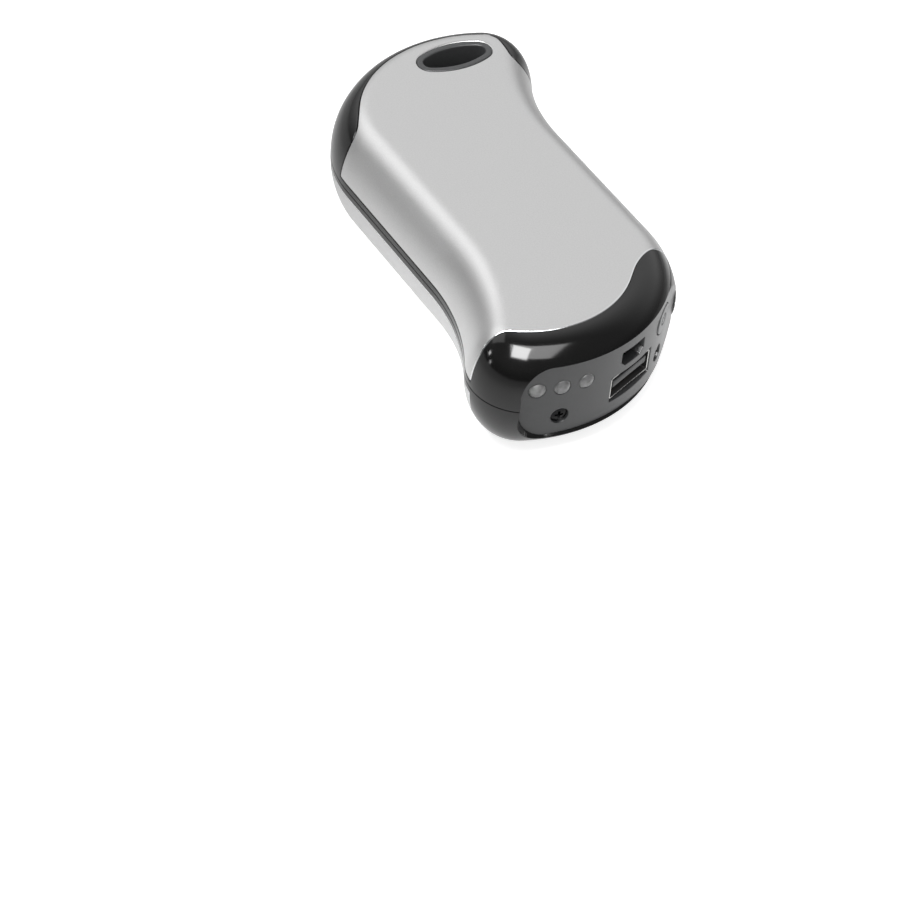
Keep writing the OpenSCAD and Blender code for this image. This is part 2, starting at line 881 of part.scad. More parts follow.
// Side-pressed switch on the board behind the button
module power_switch() {
  color("#26272a") seated() at_panel(button_turn, button_z) difference() {
    translate([-switch_size[0] / 2, switch_y, board_top + rest_gap - button_z]) cube(switch_size);
    inward_rod(plunger_r + 0.05, switch_y - 1, switch_y + 1.9);
  }
}

module switch_plunger() {
  color("#c9c9c4") seated() at_panel(button_turn, button_z)
    inward_rod(plunger_r, plunger_y, switch_y + 1.2);
}

// Cap with a flange behind the panel and a stem that meets the plunger
module power_button() {
  overlap = 0.1;
  color("#b4b6b8") seated() at_panel(button_turn, button_z) {
    inward_rod(button_d / 2, -button_proud, flange_y + overlap);
    inward_rod(button_d / 2 + flange_w, flange_y, flange_y + flange_t);
    inward_rod(1.3, flange_y + flange_t - overlap, plunger_y - 0.05);
  }
}

module end_panel() {
  light_gap = 0.05;
  seat_y = screw_sink + screw_head_h + 0.05;
  color("#77797c") seated() difference() {
    intersection() {
      union() {
        round_end(end_c, end_r, -75, broad_turn);
        round_end(broad_c, broad_r, broad_turn - 4, 110);
      }
      panel_face();
      panel_block(0);
    }
    translate([panel_c[0], panel_c[1], -far]) cylinder(r = panel_r - panel_wall, h = 2 * far);
    for (turn = light_turns) {
      at_panel(turn, light_z) inward_rod(light_d / 2 + light_gap, -1, panel_wall + 1);
    }
    for (turn = screw_turns) {
      at_panel(turn, -screw_z) {
        inward_rod(screw_head_d / 2 + head_gap, -1, seat_y);
        inward_rod(screw_d / 2 + head_gap, -1, panel_wall + 1);
      }
    }
    at_panel(button_turn, button_z) inward_rod(button_d / 2 + button_fit, -1, panel_wall + 1);
    at_panel(usb_turn, -usb_z) translate([0, -2, 0])
      block([usb_w + 2 * usb_gap, panel_wall + 4, usb_cut_h]);
    at_panel(micro_turn, micro_z + 0.1)
      micro_tube(micro_cut_w, micro_cut_h, 1.3, -2, panel_wall + 2);
  }
}

back_housing();
front_housing();
back_heater_film();
front_heater_film();
back_heat_plate();
front_heat_plate();
lanyard_grommet();
case_screws();
battery_cradle();
battery_cell_left();
battery_cell_right();
battery_tabs();
cell_pad_left();
cell_pad_right();
battery_leads();
heater_leads();
thermistor();
circuit_board();
inductor();
charger_chip();
capacitor();
usb_a_shell();
usb_a_insulator();
usb_a_contacts();
micro_usb_shell();
micro_usb_insulator();
status_light_left();
status_light_middle();
status_light_right();
power_switch();
switch_plunger();
power_button();
end_panel();
panel_screws();
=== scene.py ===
from math import asin, atan2, ceil, cos, degrees, pi, radians, sin, sqrt, tan

import bmesh
import bpy
from mathutils import Matrix, Vector


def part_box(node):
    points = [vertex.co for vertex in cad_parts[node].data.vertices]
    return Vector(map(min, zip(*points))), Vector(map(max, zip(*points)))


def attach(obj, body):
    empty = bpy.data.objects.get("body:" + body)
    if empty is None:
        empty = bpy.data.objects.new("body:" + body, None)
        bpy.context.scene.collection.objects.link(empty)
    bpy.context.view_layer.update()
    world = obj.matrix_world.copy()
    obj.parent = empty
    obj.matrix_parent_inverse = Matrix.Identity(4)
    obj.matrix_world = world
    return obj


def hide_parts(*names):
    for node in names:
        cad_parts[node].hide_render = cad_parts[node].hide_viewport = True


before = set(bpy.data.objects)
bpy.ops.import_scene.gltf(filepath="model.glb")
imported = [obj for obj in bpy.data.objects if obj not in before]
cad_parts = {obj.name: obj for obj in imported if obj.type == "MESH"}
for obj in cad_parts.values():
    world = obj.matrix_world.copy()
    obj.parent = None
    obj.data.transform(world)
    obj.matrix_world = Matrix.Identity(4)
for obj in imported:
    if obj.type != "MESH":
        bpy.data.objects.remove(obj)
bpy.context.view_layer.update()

# Camera, table and lamps
# The warmer lies on a white table and is seen from above the left of its panel end,
# from far away. One soft lamp lights it from above. The others only show as highlights.
MM = 0.001
scene = bpy.context.scene
scene.view_settings.view_transform = "Standard"

camera = bpy.data.objects.new("camera", bpy.data.cameras.new("camera"))
scene.collection.objects.link(camera)
camera.data.sensor_width = 36
camera.data.lens = 123.42
camera_right = (0.8829363, -0.46431033, 0.06956588)
camera_up = (0.28279164, 0.64423008, 0.71063105)
camera_back = (-0.37476977, -0.6077693, 0.70011721)
camera_place = (-0.26984, -0.42639, 0.44092)
camera.matrix_world = Matrix([(*axes, place) for *axes, place in zip(
    camera_right, camera_up, camera_back, camera_place)] + [(0, 0, 0, 1)])
scene.camera = camera


def add(tree, kind, settings=None, inputs=None):
    """Adds a shader node with its settings, and with its inputs linked or set."""
    node = tree.nodes.new("ShaderNode" + kind)
    for name, value in (settings or {}).items():
        setattr(node, name, value)
    for name, value in (inputs or {}).items():
        if isinstance(value, bpy.types.NodeSocket):
            tree.links.new(value, node.inputs[name])
        else:
            node.inputs[name].default_value = value
    return node


def seen_directly(tree):
    """Is 1 for the rays that see a thing straight, in a mirror or through glass."""
    path = add(tree, "LightPath")
    seen = add(tree, "Math", {"operation": "MAXIMUM"},
               {0: path.outputs["Is Camera Ray"], 1: path.outputs["Is Glossy Ray"]})
    return add(tree, "Math", {"operation": "MAXIMUM"},
               {0: seen.outputs[0], 1: path.outputs["Is Transmission Ray"]}).outputs[0]


world = bpy.data.worlds.new("studio")
world.use_nodes = True
scene.world = world
tree = world.node_tree
tree.nodes.clear()
soft_fill = add(tree, "Background", None, {"Color": (1, 1, 1, 1), "Strength": 0.5})
white_room = add(tree, "Background", None, {"Color": (1, 1, 1, 1), "Strength": 1})
# What the warmer mirrors: a bright far side, a dim near side and a darker horizon
bright_side = (0.525, 0.851, 0)
place = add(tree, "TexCoord").outputs["Generated"]
far_away = add(tree, "VectorMath", {"operation": "DOT_PRODUCT"},
               {0: place, 1: bright_side}).outputs["Value"]
sides = add(tree, "MapRange", {"interpolation_type": "SMOOTHSTEP"}, {
    "Value": far_away, "From Min": -0.05, "From Max": 0.85, "To Min": 0.2, "To Max": 0.98})
height = add(tree, "SeparateXYZ", None, {0: place}).outputs["Z"]
rise = add(tree, "MapRange", {"interpolation_type": "SMOOTHSTEP"}, {
    "Value": height, "From Min": 0, "From Max": 0.4, "To Min": 0.35, "To Max": 1})
walls = add(tree, "Math", {"operation": "MULTIPLY"}, {0: sides.outputs[0], 1: rise.outputs[0]})
mirrored = add(tree, "Background", None, {"Color": (1, 1, 1, 1), "Strength": walls.outputs[0]})
rays = add(tree, "LightPath")
room = add(tree, "MixShader", None, {0: seen_directly(tree), 1: soft_fill.outputs[0],
                                     2: white_room.outputs[0]})
room = add(tree, "MixShader", None, {0: rays.outputs["Is Glossy Ray"], 1: room.outputs[0],
                                     2: mirrored.outputs[0]})
add(tree, "OutputWorld", None, {"Surface": room.outputs[0]})

table_reach = 3
table_bm = bmesh.new()
bmesh.ops.create_grid(table_bm, x_segments=1, y_segments=1, size=table_reach)
table_mesh = bpy.data.meshes.new("table")
table_bm.to_mesh(table_mesh)
table_bm.free()
table = bpy.data.objects.new("table", table_mesh)
scene.collection.objects.link(table)
table_paint = bpy.data.materials.new("white_table")
table_paint.use_nodes = True
tree = table_paint.node_tree
tree.nodes.clear()
rays = add(tree, "LightPath")
# In mirror images the table is dimmer and fades away from the warmer's port end
port_end = (0.02, -0.045, 0)
spot = add(tree, "TexCoord").outputs["Object"]
spot = add(tree, "VectorMath", {"operation": "DISTANCE"}, {0: spot, 1: port_end})
fading = add(tree, "MapRange", None, {"Value": spot.outputs["Value"], "From Min": 0.01,
                                      "From Max": 0.17, "To Min": 0.9, "To Max": 0})
tone = add(tree, "Mix", None, {"Factor": rays.outputs["Is Glossy Ray"], "A": 0.8, "B": 0.5})
shine = add(tree, "Mix", None, {"Factor": rays.outputs["Is Glossy Ray"], "A": 0.75,
                                "B": fading.outputs[0]})
lit = add(tree, "BsdfDiffuse", None, {"Color": tone.outputs[0]})
glow = add(tree, "Emission", None, {"Color": (1, 1, 1, 1), "Strength": shine.outputs[0]})
seen_table = add(tree, "AddShader", None, {0: glow.outputs[0], 1: lit.outputs[0]})
surface = add(tree, "MixShader", None, {0: seen_directly(tree), 1: lit.outputs[0],
                                        2: seen_table.outputs[0]})
add(tree, "OutputMaterial", None, {"Surface": surface.outputs[0]})
table_mesh.materials.append(table_paint)


def softbox(name, place, size, power, mirrored):
    """Oblong soft lamp that faces the warmer, in metres, which lights it or is mirrored in it."""
    lamp = bpy.data.lights.new(name, "AREA")
    lamp.shape = "RECTANGLE"
    lamp.size, lamp.size_y = size
    lamp.energy = power
    obj = bpy.data.objects.new(name, lamp)
    scene.collection.objects.link(obj)
    turn = Vector(place).to_track_quat("Z", "Y").to_matrix().to_4x4()
    obj.matrix_world = Matrix.Translation(place) @ turn
    obj.visible_glossy = mirrored
    obj.visible_diffuse = not mirrored


softbox("lamp_above", (-0.3, 0.1, 0.9), (0.7, 0.7), 5, False)
softbox("lamp_near", (-0.25, -0.43, 0.86), (1.05, 0.64), 10, True)
softbox("lamp_near_core", (-0.38, -0.4, 0.83), (0.6, 0.58), 14, True)
softbox("lamp_far_left", (-0.42, 0.63, 0.66), (0.75, 0.55), 1.3, True)
softbox("lamp_small", (-0.9, 0.38, 0.22), (0.09, 0.09), 0.25, True)
softbox("lamp_small_low", (-0.98, 0.19, 0.08), (0.07, 0.07), 0.1, True)

# Case halves
# Two moulded halves of polished black ABS with a wavy outline. Each outline half is
# a half turn of the other, and the edge rolls over from the flat face to the side.
body_len, body_w, body_t = 110, 58.4, 27.6
half_t = body_t / 2
end_r, tight_r, waist_r = 36.5, 11.7, 48
end_shift, broad_turn, broad_in, waist_in = 8.9, 44.2, 4.45, 6.6
roll_w, band_h, case_wall, seam = 8.5, 0.4, 1.6, 0.1


def outward(turn):
    """Direction out of the case at a turn counted from -Y towards +X, in degrees."""
    return Vector((sin(radians(turn)), -cos(radians(turn)), 0))


end_c = Vector((-end_shift, end_r - body_len / 2, 0))
tight_turn = degrees(asin((tight_r - body_w / 2 + end_shift) / (end_r - tight_r)))
tight_c = end_c + (end_r - tight_r) * outward(tight_turn)
broad_sine = sin(radians(broad_turn))
broad_r = (body_w / 2 - broad_in + end_shift - end_r * broad_sine) / (1 - broad_sine)
broad_c = end_c + (end_r - broad_r) * outward(broad_turn)
waist_c = Vector((body_w / 2 - waist_in + waist_r,
                  -tight_c.y - sqrt(2 * waist_in * (waist_r + tight_r) - waist_in ** 2), 0))
to_waist = waist_c - broad_c
waist_start = degrees(atan2(to_waist.y, to_waist.x) + asin((broad_r + waist_r) / to_waist.length))
waist_end = degrees(atan2(waist_c.x + tight_c.x, -tight_c.y - waist_c.y))


def case_outline(depth):
    """Start and stretches of the outline drawn in by a depth."""
    half = [(tight_c, tight_turn - waist_end + 180), (end_c, broad_turn - tight_turn),
            (broad_c, waist_start - broad_turn),
            (waist_c - (waist_r + depth) * outward(waist_start), None),
            (waist_c, waist_end - waist_start)]
    start = tight_c + (tight_r - depth) * outward(waist_end - 180)
    return start, half + [(-point, turn) for point, turn in half]


def line_of(start, stretches, spacing):
    """Level line of straight stretches (to a point) and arcs (centre, turn)."""
    bm = bmesh.new()
    vert = bm.verts.new(start)
    for point, turn in stretches:
        away = point - vert.co
        if turn is None:
            steps = ceil(away.length / spacing)
            spun = bmesh.ops.spin(bm, geom=[vert], axis=(0, 0, 1), cent=point, angle=0,
                                  dvec=away / steps, steps=steps)
        else:
            steps = max(3, ceil(radians(abs(turn)) * away.length / spacing))
            spun = bmesh.ops.spin(bm, geom=[vert], axis=(0, 0, 1), cent=point,
                                  angle=radians(turn), steps=steps)
        vert = spun["geom_last"][0]
    bmesh.ops.remove_doubles(bm, verts=bm.verts, dist=0.01)
    return bm


def trace(start, stretches, spacing=0.3):
    """Flat face inside a closed line of such stretches."""
    bm = line_of(start, stretches, spacing)
    bmesh.ops.contextual_create(bm, geom=bm.edges)
    if bm.faces[:][0].normal.z < 0:
        bmesh.ops.reverse_faces(bm, faces=bm.faces)
    return bm


def raised(bm, low, high):
    """Turns a flat face into a closed block between two heights."""
    bmesh.ops.translate(bm, vec=(0, 0, low), verts=bm.verts)
    top = bmesh.ops.extrude_face_region(bm, geom=bm.faces[:])["geom"]
    bmesh.ops.translate(bm, vec=(0, 0, high - low),
                        verts=[v for v in top if isinstance(v, bmesh.types.BMVert)])
    bmesh.ops.recalc_face_normals(bm, faces=bm.faces)
    return bm


def case_form(depth=0):
    """The whole case drawn in by a depth, closed, in mm, with its middle at height 0."""
    outline_spacing, roll_steps = 0.8, 24
    bm = trace(*case_outline(depth), outline_spacing)
    raised(bm, -band_h, band_h)
    turns = [pi / 2 * step / roll_steps for step in range(roll_steps + 1)]
    for face in [f for f in bm.faces if abs(f.normal.z) > 0.9]:
        for low, high in zip(turns, turns[1:]):
            bmesh.ops.inset_region(bm, faces=[face], use_boundary=True, use_even_offset=True,
                                   thickness=(roll_w - depth) * (cos(low) - cos(high)),
                                   depth=(half_t - band_h - depth) * (sin(high) - sin(low)))
    return bm


def rough_out(bm, side=0):
    """Hidden object from a bmesh, whose faces all take one of two surface numbers."""
    for face in bm.faces:
        face.material_index = side
        face.smooth = True
    mesh = bpy.data.meshes.new("rough")
    bm.to_mesh(mesh)
    bm.free()
    mesh.materials.append(None)
    mesh.materials.append(None)
    obj = bpy.data.objects.new("rough", mesh)
    scene.collection.objects.link(obj)
    return obj


def bake_steps(obj):
    """Puts the result of the live modifiers into the mesh."""
    bpy.context.view_layer.update()
    depsgraph = bpy.context.evaluated_depsgraph_get()
    mesh = bpy.data.meshes.new_from_object(obj.evaluated_get(depsgraph), depsgraph=depsgraph,
                                           preserve_all_data_layers=True)
    obj.modifiers.clear()
    obj.data = mesh


def carve(obj, *cutters):
    """Cuts with each (bmesh, operation); the cut faces take surface number 1."""
    for bm, operation in cutters:
        tool = rough_out(bm, 1)
        step = obj.modifiers.new("cut", "BOOLEAN")
        step.operation, step.solver, step.object = operation, "EXACT", tool
        bake_steps(obj)
        bpy.data.objects.remove(tool)
    return obj


def softened(corners):
    """Start and stretches of a line through (x, y, radius) corner points."""
    points = [Vector((x, y, 0)) for x, y, _ in corners]
    stretches = []
    for i, (_, _, radius) in enumerate(corners):
        here = points[i]
        u = (points[i - 1] - here).normalized()
        w = (points[(i + 1) % len(points)] - here).normalized()
        half = u.angle(w) / 2
        stretches.append((here + u * radius / tan(half), None))
        if radius:
            side = 1 if w.cross(u).z > 0 else -1
            stretches.append((here + (u + w).normalized() * radius / sin(half),
                              side * degrees(pi - 2 * half)))
    return stretches[0][0], stretches[1:] + stretches[:1]


# Borders of the heating plates on the case, from the two ends
cap_depth, cap_r, near_left, near_right = 9.1, 24, 13.9, 24.1
far_depth, far_r, far_shift, far_left, far_right, far_step = 6.3, 28.2, 7.5, 28, 20.3, 21.9
cap_turns, cap_corners, far_turns = (-32, 47), (7, 16), (155, 240)
step_corners, left_corner = (3.5, 4), 5
plate_edge, plate_gap = 1.6, 0.12
# Cutters reach past the case: across, past its ends, past the panel, and past its faces
reach, past_end, past_panel, past_face = 40, 60, 80, 20


def plate_plan(left, grow):
    """Plan of a heating plate with its far left border at a distance from the end."""
    near_c = Vector((-end_shift, cap_depth + cap_r - body_len / 2, 0))
    far_c = Vector((far_shift, body_len / 2 - far_depth - far_r, 0))

    def on_level(centre, radius, turn, y):
        point = centre + radius * outward(turn)
        return point.x + (y - point.y) / tan(radians(turn))

    def between(centre, radius, one, two):
        return centre + radius / cos(radians(two - one) / 2) * outward((one + two) / 2)

    near_l, near_r = near_left - body_len / 2 - grow, near_right - body_len / 2 - grow
    far_l, far_r_level = body_len / 2 - left + grow, body_len / 2 - far_right + grow
    cap_round, far_round = cap_r + grow, far_r + grow
    peak = between(near_c, cap_round, *cap_turns)
    crest = between(far_c, far_round, *far_turns)
    slope = far_c + far_round * outward(far_turns[0])
    step_x = far_step + grow
    step_y = slope.y + (step_x - slope.x) * tan(radians(far_turns[0]))
    return softened([
        (-reach, near_l, 0),
        (on_level(near_c, cap_round, cap_turns[0], near_l), near_l, cap_corners[0] - grow),
        (peak.x, peak.y, cap_round),
        (on_level(near_c, cap_round, cap_turns[1], near_r), near_r, cap_corners[1] - grow),
        (reach, near_r, 0), (reach, far_r_level, 0),
        (step_x, far_r_level, step_corners[0] - grow),
        (step_x, step_y, step_corners[1] + grow), (crest.x, crest.y, far_round),
        (on_level(far_c, far_round, far_turns[1], far_l), far_l, left_corner - grow),
        (-reach, far_l, 0)])


def walled(rough, wall, edge, steps=2, edge_finish=0):
    """Piece in mm from the outer skin of a carved block: its border is rounded over, which
    takes it out by the edge, and all of it gets a wall."""
    bm = bmesh.new()
    bm.from_mesh(rough.data)
    bpy.data.objects.remove(rough)
    bmesh.ops.delete(bm, geom=[f for f in bm.faces if f.material_index], context="FACES")
    bmesh.ops.remove_doubles(bm, verts=bm.verts, dist=0.03)
    bmesh.ops.dissolve_degenerate(bm, edges=bm.edges, dist=0.01)
    bm.normal_update()
    weights = bm.verts.layers.deform.verify()
    normal = bm.verts.layers.float_vector.new("normal")
    away = bm.verts.layers.float_vector.new("away")
    depth = bm.verts.layers.float.new("depth")
    for vert in bm.verts:
        vert[weights][0], vert[normal], vert[depth] = 1, vert.normal, wall
    rim = [e for e in bm.edges if e.is_boundary]
    for line in rim:
        loop = line.link_loops[0]
        along = loop.link_loop_next.vert.co - loop.vert.co
        for vert in line.verts:
            vert[away] = vert[away] + along.cross(vert[normal])
    turns = [pi / 2 * step / steps for step in range(steps + 1)]
    for low, high in zip(turns, turns[1:]):
        grown = bmesh.ops.extrude_edge_only(bm, edges=rim)["geom"]
        rim = [g for g in grown if isinstance(g, bmesh.types.BMEdge) and g.is_boundary]
        for vert in {v for line in rim for v in line.verts}:
            down = edge * (cos(low) - cos(high))
            out = edge * (sin(high) - sin(low))
            vert.co += out * vert[away].normalized() - down * vert[normal]
            vert[weights][0], vert[depth] = 0, vert[depth] - down
        for face in {line.link_faces[0] for line in rim}:
            face.material_index = edge_finish
    behind = bmesh.ops.extrude_face_region(bm, geom=bm.faces[:])["geom"]
    for vert in behind:
        if isinstance(vert, bmesh.types.BMVert):
            vert.co -= vert[depth] * vert[normal]
            vert[weights][0] = 0
    bmesh.ops.recalc_face_normals(bm, faces=bm.faces)
    return bm


def placed(bm, name, guide=None):
    """Finished piece from a bmesh in mm, with its skin's shading taken from a guide form."""
    for face in bm.faces:
        face.smooth = True
    mesh = bpy.data.meshes.new(name)
    bm.to_mesh(mesh)
    bm.free()
    mesh.set_sharp_from_angle(angle=radians(40))
    obj = bpy.data.objects.new(name, mesh)
    scene.collection.objects.link(obj)
    if guide:
        obj.vertex_groups.new(name="skin")
        step = obj.modifiers.new("shading", "DATA_TRANSFER")
        step.object, step.vertex_group, step.use_loop_data = guide, "skin", True
        step.data_types_loops, step.loop_mapping = {"CUSTOM_NORMAL"}, "POLYINTERP_NEAREST"
        bake_steps(obj)
        obj.vertex_groups.clear()
    obj.data.transform(Matrix.Translation((0, 0, half_t * MM)) @ Matrix.Scale(MM, 4))
    obj.data.name = name
    return obj


def slab(side, low, high):
    """Level block as wide as the case, between two heights on one side of the middle."""
    spacing = 20
    plan = softened([(-reach, -past_end, 0), (reach, -past_end, 0),
                     (reach, past_end, 0), (-reach, past_end, 0)])
    return raised(trace(*plan, spacing), *sorted((side * low, side * high)))


def plate_block(side, left, grow):
    """Upright block with the plan of a heating plate."""
    low, high = side * (plate_edge - grow), side * past_face
    return raised(trace(*plate_plan(left, grow)), *sorted((low, high)))


# Opening for the end panel
panel_top, panel_bot, panel_left, panel_corner, panel_gap = 9.4, 10, 23.2, 7, 0.15
panel_end, panel_right, panel_step = near_right - 0.4, 22.2, 3.5


def panel_block(grow):
    """Block with the panel's front view, that runs along Y. Its upper part is open to the
    right, and its lower part ends short of the side."""
    low, high, left = -panel_bot - grow, panel_top + grow, -panel_left - grow
    right, step, corner = panel_right + grow, panel_step - grow, panel_corner + grow
    front = softened([(left, low, corner), (right, low, 0), (right, step, 0),
                      (reach, step, 0), (reach, high, 0), (left, high, corner)])
    bm = raised(trace(*front), body_len / 2 - panel_end - grow, past_panel)
    bmesh.ops.rotate(bm, verts=bm.verts, matrix=Matrix.Rotation(radians(90), 3, "X"))
    return bm


# Lanyard hole through both halves
hole_len, hole_wid, hole_end_r, rim_w, tube_wall = 17.9, 8.8, 3.2, 1.4, 1.1
hole_c = Vector((9.8, body_len / 2 - 13.7, 0))


def oval(grow):
    """Oval of the lanyard hole: two flat arcs and two round ends."""
    a = hole_len / 2 - hole_end_r
    flat_r = (a ** 2 + (hole_wid / 2) ** 2 - hole_end_r ** 2) / (hole_wid - 2 * hole_end_r)
    drop = flat_r - hole_wid / 2
    half = degrees(atan2(a, drop))
    end_r = hole_end_r + grow
    start = hole_c + Vector((-a, 0, 0)) + end_r * outward(-half)
    stretches = []
    for side in (1, -1):
        stretches += [(hole_c + Vector((0, side * drop, 0)), 2 * half),
                      (hole_c + Vector((side * a, 0, 0)), 180 - 2 * half)]
    return start, stretches


def linear(code):
    """Linear, opaque colour from an sRGB hex code."""
    parts = [int(code[i:i + 2], 16) / 255 for i in (1, 3, 5)]
    return [c / 12.92 if c <= 0.04045 else ((c + 0.055) / 1.055) ** 2.4 for c in parts] + [1]


def finish(name, tones, roughness, grain, bump, drawn=(1, 1, 1), sockets=None):
    """Material whose tone and roughness wander between two values over grains of a size in
    mm, with a relief of a height in mm. Drawn says how far the grains are drawn out."""
    material = bpy.data.materials.new(name)
    material.use_nodes = True
    tree = material.node_tree
    tree.nodes.clear()
    spot = add(tree, "TexCoord").outputs["Object"]
    scale = [1 / (MM * grain * length) for length in drawn]
    spot = add(tree, "Mapping", None, {"Vector": spot, "Scale": scale}).outputs[0]
    cloud = add(tree, "TexNoise", None, {"Vector": spot, "Scale": 1, "Detail": 3}).outputs[0]
    tone = add(tree, "MixRGB", None, {"Fac": cloud, "Color1": linear(tones[0]),
                                      "Color2": linear(tones[1])})
    gloss = add(tree, "MapRange", None, {"Value": cloud, "To Min": roughness[0],
                                         "To Max": roughness[1]})
    relief = add(tree, "Bump", None, {"Height": cloud, "Distance": bump * MM})
    settings = {"Base Color": tone.outputs[0], "Roughness": gloss.outputs[0],
                "Normal": relief.outputs[0]}
    settings.update(sockets or {})
    skin = add(tree, "BsdfPrincipled", None, settings)
    add(tree, "OutputMaterial", None, {"Surface": skin.outputs[0]})
    return material


def dress(material, *names):
    """Gives pieces that keep their own mesh their finish."""
    for name in names:
        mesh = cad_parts[name].data
        mesh.materials.clear()
        mesh.materials.append(material)


# Polished moulding: near black, mirror-like, with faint smears from handling
gloss_black = finish("polished_black_abs", ("#0c0c0c", "#121212"), (0.09, 0.15), 9, 0.004,
                     sockets={"IOR": 1.53})
whole_form = rough_out(case_form())
housing_edge, recess_d = 0.2, 1.15
cavity_d = recess_d + case_wall
for name, side, left in (("back_housing", -1, far_right), ("front_housing", 1, far_left)):
    rough = carve(rough_out(case_form()),
                  (slab(side, seam / 2 + housing_edge, past_face), "INTERSECT"),
                  (plate_block(side, left, plate_gap + housing_edge), "DIFFERENCE"),
                  (panel_block(panel_gap + housing_edge), "DIFFERENCE"))
    shell = walled(rough, cavity_d, housing_edge)
    tray = carve(rough_out(case_form(recess_d)),
                 (plate_block(side, left, case_wall / 2), "INTERSECT"),
                 (case_form(cavity_d), "DIFFERENCE"),
                 (raised(trace(*oval(0)), -past_face, past_face), "DIFFERENCE"))
    shell.from_mesh(tray.data)
    bpy.data.objects.remove(tray)
    housing = placed(shell, name + "_shell", whole_form)
    housing.data.materials.append(gloss_black)
    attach(housing, "case")
    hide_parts(name)

# Battery
# Two 18650 cells lie side by side in a moulded nylon cradle. Nickel strips are spot
# welded across their ends, foam pads hold them down, and PVC leads run to the board.
# Natural nylon: creamy and half matt
natural_nylon = finish("natural_nylon", ("#cfcdc2", "#dddbd0"), (0.4, 0.55), 1.5, 0.02)
# Shrink sleeve: glossy blue, drawn tight along the cell
shrink_sleeve = finish("blue_shrink_sleeve", ("#17538f", "#2468a8"), (0.22, 0.4), 2.5, 0.05,
                       drawn=(1, 6, 1))
# Rolled nickel: warm grey metal with fine lines along the strip
nickel = finish("rolled_nickel", ("#a9a8a2", "#bdbcb6"), (0.25, 0.4), 0.6, 0.01,
                drawn=(8, 1, 1), sockets={"Metallic": 1})
# Foam: dull black with open pores
foam = finish("closed_cell_foam", ("#101010", "#1c1c1c"), (0.8, 0.95), 0.5, 0.15)
# PVC: plain red with a waxy shine
red_pvc = finish("red_pvc_sleeve", ("#a01414", "#b51e1c"), (0.3, 0.42), 1.2, 0.02)
dress(natural_nylon, "battery_cradle")
dress(shrink_sleeve, "battery_cell_left", "battery_cell_right")
dress(nickel, "battery_tabs")
dress(foam, "cell_pad_left", "cell_pad_right")
dress(red_pvc, "battery_leads")

# Circuit board
# Glass-fibre board under a green solder mask, with a ferrite inductor, a charger chip
# and a drawn aluminium capacitor soldered to it.
# Solder mask: a glossy green lacquer
solder_mask = finish("green_solder_mask", ("#0a3d1a", "#0f5124"), (0.2, 0.3), 1.6, 0.01)
tree = solder_mask.node_tree
spot = add(tree, "TexCoord").outputs["Object"]
spot = add(tree, "Mapping", None, {"Vector": spot, "Scale": [1 / MM] * 3}).outputs[0]
# Copper tracks under the mask, 0.5 mm wide on a 1.6 mm grid, show as a lighter green
tracks = add(tree, "TexBrick", None, {
    "Vector": spot, "Color1": linear("#0a3d1a"), "Color2": linear("#0d4720"),
    "Mortar": linear("#1c7336"), "Scale": 1, "Mortar Size": 0.25, "Mortar Smooth": 0.1,
    "Brick Width": 4.8, "Row Height": 1.6})
tree.links.new(tracks.outputs["Color"], tree.nodes["Principled BSDF"].inputs["Base Color"])
# Epoxy: dull black. Drawn can: bright, lined from base to top. Ferrite: rough, dark grey
black_epoxy = finish("moulded_epoxy", ("#0a0a0a", "#131313"), (0.45, 0.6), 0.3, 0.01)
drawn_can = finish("drawn_aluminium_can", ("#a5a7aa", "#b9bbbe"), (0.25, 0.4), 0.4, 0.008,
                   drawn=(1, 1, 10), sockets={"Metallic": 1})
ferrite = finish("sintered_ferrite", ("#1e1e20", "#2b2b2e"), (0.6, 0.8), 0.4, 0.05)
dress(solder_mask, "circuit_board")
dress(black_epoxy, "charger_chip", "thermistor")
dress(drawn_can, "capacitor")
dress(ferrite, "inductor")

# Charging port for other devices
# Shell of folded, tin-plated steel round a dark grey nylon tongue with four gilt strips
# under it, soldered under the edge of the board behind the panel.
panel_r, panel_in = 36.4, 3.4
panel_c = Vector((-end_shift, panel_in + panel_r - body_len / 2, 0))
panel_wall = 2.2
usb_turn, usb_z, usb_w, usb_h, usb_len, port_front = 22.6, 3.15, 13, 5.7, 13, 0.8
usb_corner, shell_t, lip = 0.6, 0.3, 0.07
foot_places, foot_w, foot_root = (5.4, 9.6), 1.6, 0.6


def at_panel(bm, turn, z, inwards=0):
    """Moves a fitting, drawn face up, to a turn and a height on the panel's face."""
    spot = panel_c + (panel_r - inwards) * outward(turn) + Vector((0, 0, z))
    bmesh.ops.transform(bm, verts=bm.verts, matrix=(
        Matrix.Translation(spot) @ Matrix.Rotation(radians(turn), 4, "Z")
        @ Matrix.Rotation(radians(90), 4, "X")))
    return bm


def sleeve(plan, wall, length, spacing=0.2):
    """Cup with a plan, open at the top, with rounded lips."""
    bm = raised(trace(*plan, spacing), -length, -lip)
    top = [f for f in bm.faces if f.normal.z > 0.9]
    for thickness, depth in ((lip, lip), (wall - 2 * lip, 0), (lip, -lip), (0, wall - length)):
        inner = bmesh.ops.inset_region(bm, faces=top, use_boundary=True, use_even_offset=True,
                                       thickness=thickness, depth=depth)["faces"]
    for face in top + inner:
        face.material_index = 1
    return bm


def brick(bm, low, high, corner=0):
    """Adds a block between two corners, with its edges rounded."""
    made = bmesh.ops.create_cube(bm, size=1)["verts"]
    for vert in made:
        vert.co = Vector([lo + (c + 0.5) * (hi - lo) for c, lo, hi in zip(vert.co, low, high)])
    if corner:
        edges = list({e for v in made for e in v.link_edges})
        bmesh.ops.bevel(bm, geom=edges, offset=corner, offset_type="OFFSET", affect="EDGES",
                        segments=2, profile=0.5, material=-1)
    return bm


